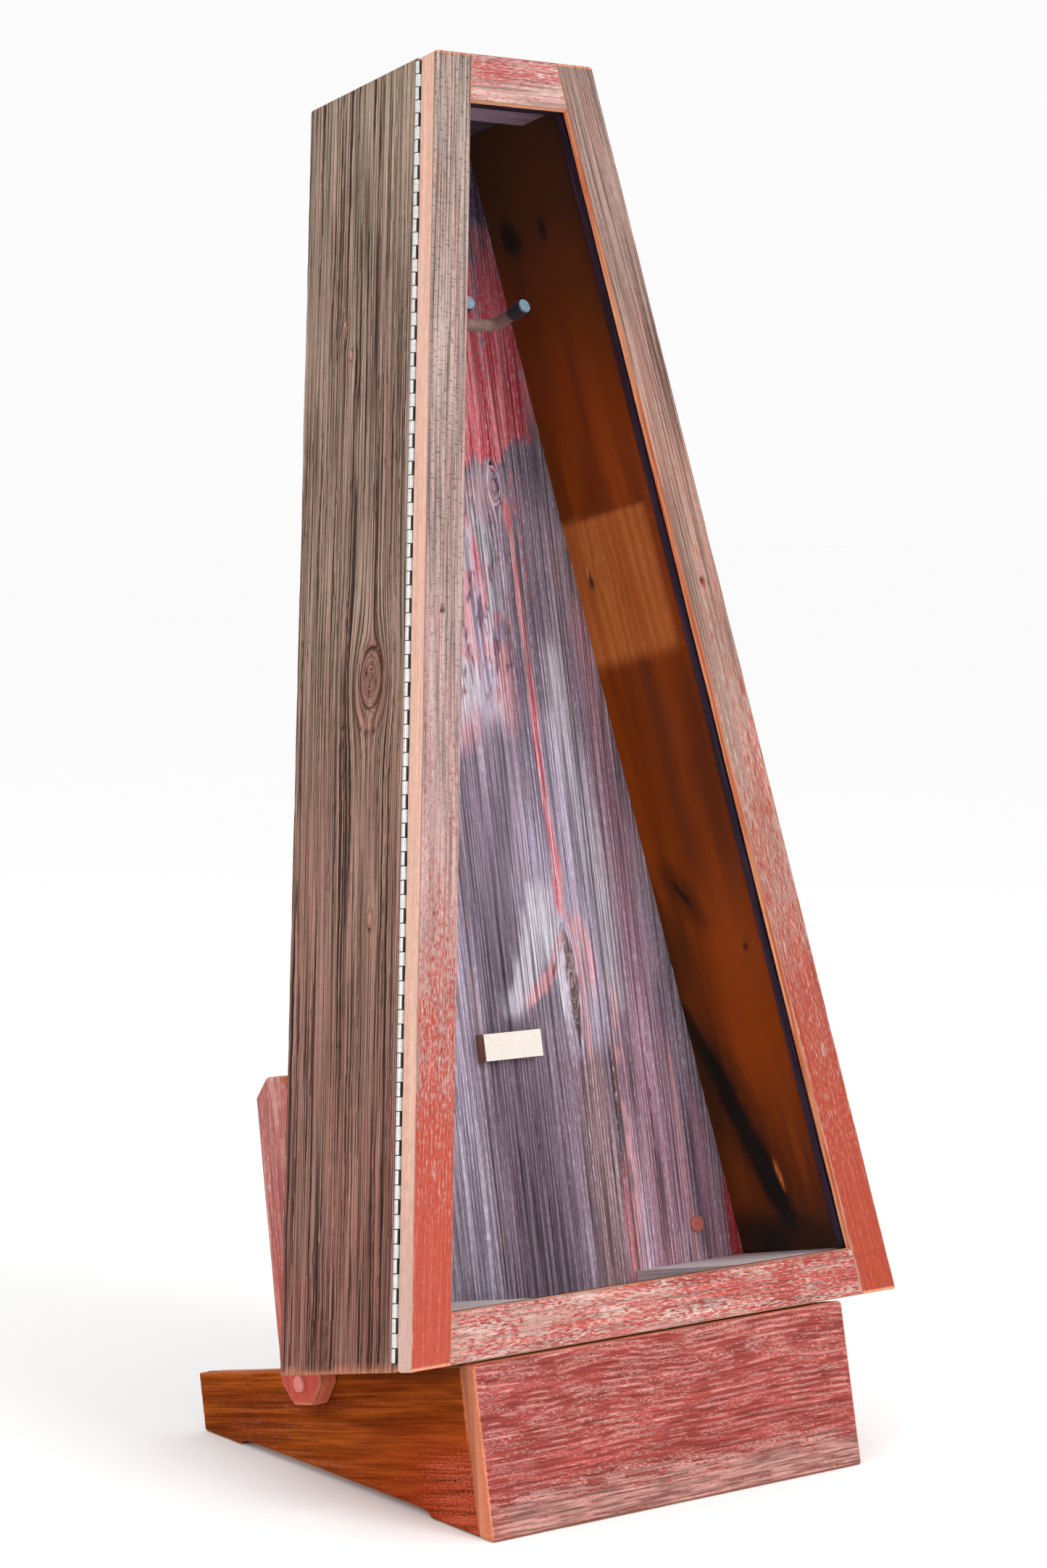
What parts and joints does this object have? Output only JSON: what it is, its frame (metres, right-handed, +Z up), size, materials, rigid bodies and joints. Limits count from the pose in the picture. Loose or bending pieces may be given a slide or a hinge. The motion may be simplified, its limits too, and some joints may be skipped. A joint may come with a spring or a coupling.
{
  "type": "display case",
  "caption": "Tall tapered wooden display case for a guitar, leaning on a low floor stand, with a glazed door on a long hinge and a padded neck hanger inside.",
  "frame": {"origin": "on the floor, under the middle of the object's bounding box", "axes": "+Z up, +X to the right seen from the front, the door faces -Y and the case leans back towards +Y"},
  "size_m": [0.5787, 0.4818, 1.302],
  "materials": {
    "siding_boards": "weathered, ridged grain outside, glossy stain inside",
    "frame_stiles": "weathered barn board with worn red paint",
    "frame_rails": "weathered barn board with worn red paint",
    "back_boards": "weathered planks with traces of red paint",
    "stand_boards": "dark stained board, scuffed",
    "stand_front": "worn red paint over ridged grain",
    "pale_blocks": "pale planed softwood",
    "plain_softwood": "planed softwood",
    "button_plugs": "painted turned wood",
    "felt": "felt",
    "glass": "clear float glass",
    "dark_beads": "dark painted bead",
    "seal_rubber": "soft foam strip",
    "hinge_steel": "plated, satin",
    "fastener_steel": "plated",
    "yoke_steel": "satin",
    "yoke_foam": "soft padded sleeve",
    "yoke_rubber": "soft rubber sleeve",
    "yoke_discs": "satin end disc"
  },
  "bodies": {
    "stand": {"stand_side_left": "stand_boards", "stand_side_right": "stand_boards", "stand_front_board": "stand_front", "stand_rear_stretcher": "plain_softwood", "stretcher_screws": "fastener_steel", "stand_corner_blocks": "plain_softwood", "corner_block_screws": "fastener_steel", "rest_felts": "felt"},
    "case": {"side_left": "siding_boards", "side_right": "siding_boards", "top_panel": "siding_boards", "bottom_panel": "siding_boards", "back_plank_1": "back_boards", "back_plank_2": "back_boards", "back_plank_3": "back_boards", "back_plank_4": "back_boards", "back_batten_middle": "plain_softwood", "back_batten_upper": "plain_softwood", "batten_screws": "fastener_steel", "top_cleat": "pale_blocks", "floor_block_left": "pale_blocks", "floor_block_right": "pale_blocks", "rest_block": "plain_softwood", "rest_pad": "felt", "front_seal": "seal_rubber", "catch_magnet": "fastener_steel", "rear_rail": "plain_softwood", "rail_screws": "fastener_steel", "back_plugs": "button_plugs", "arm_left": "stand_boards", "arm_right": "stand_boards", "arm_screws": "fastener_steel", "pivot_bolts": "fastener_steel", "pivot_washers": "fastener_steel", "pivot_nuts": "fastener_steel", "arm_plugs": "button_plugs", "hanger_block": "plain_softwood", "hanger_screws": "fastener_steel", "hinge_leaf_case": "hinge_steel", "hinge_pin": "hinge_steel", "hinge_screws_case": "fastener_steel"},
    "door": {"stile_left": "frame_stiles", "stile_right": "frame_stiles", "rail_top": "frame_rails", "rail_bottom": "frame_rails", "rail_dowels": "plain_softwood", "glass_pane": "glass", "bead_left": "dark_beads", "bead_right": "dark_beads", "bead_top": "dark_beads", "bead_bottom": "dark_beads", "bead_brads": "fastener_steel", "catch_strike": "fastener_steel", "hinge_leaf_door": "hinge_steel", "hinge_screws_door": "fastener_steel"},
    "yoke": {"yoke_arms": "yoke_steel", "yoke_stem": "yoke_steel", "yoke_padding": "yoke_foam", "yoke_sleeves": "yoke_rubber", "yoke_end_discs": "yoke_discs"}
  },
  "joints": [
    {"name": "case_tilt", "type": "hinge", "parent": "stand", "child": "case", "pos_m": [0, 0.02097, 0.0869], "axis": [-1, 0, 0], "range_deg": [0, 77]},
    {"name": "door_swing", "type": "hinge", "parent": "case", "child": "door", "pos_m": [-0.2885, -0.18708, 0.14724], "axis": [-0.1633, -0.2152, -0.9628], "range_deg": [0, 175]},
    {"name": "yoke_swivel", "type": "hinge", "parent": "case", "child": "yoke", "pos_m": [0, 0.10716, 1.05696], "axis": [0, 0.9759, -0.2181], "range_deg": [-20, 20]}
  ]
}
